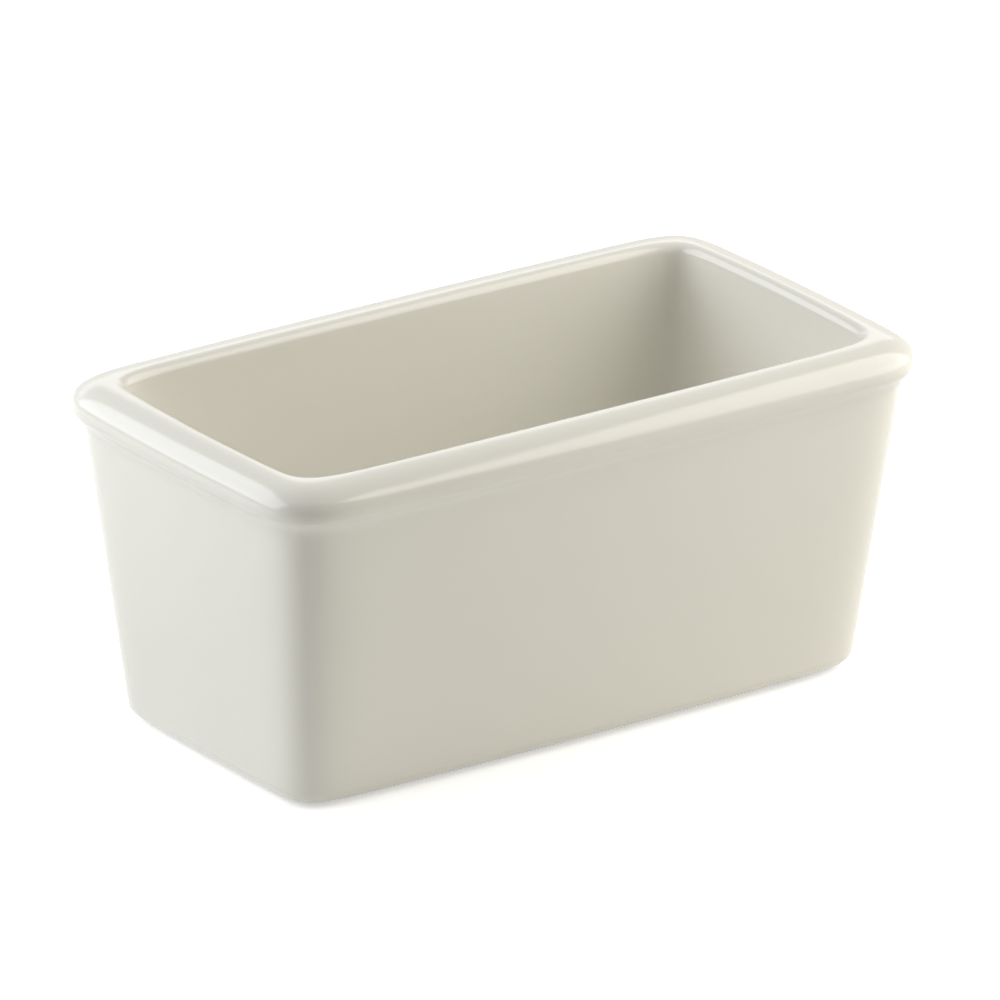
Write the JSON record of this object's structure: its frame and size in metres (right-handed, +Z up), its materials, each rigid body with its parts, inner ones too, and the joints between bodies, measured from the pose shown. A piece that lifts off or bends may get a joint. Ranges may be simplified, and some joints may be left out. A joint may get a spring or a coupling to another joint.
{
  "type": "sugar packet holder",
  "caption": "Tapered rectangular china holder with a rolled rim, open at the top, that keeps sugar packets standing on a table.",
  "frame": {"origin": "middle of the foot, on the surface that the holder stands on", "axes": "+X along the holder, +Y across it, +Z up through the open mouth"},
  "size_m": [0.1206, 0.0664, 0.0542],
  "materials": {
    "bare_china": "unglazed, fine matt",
    "bone_glaze": "smooth gloss glaze"
  },
  "bodies": {
    "root": {"china_body": "bare_china", "glaze_coat": "bone_glaze", "underside_glaze": "bone_glaze"}
  },
  "joints": []
}
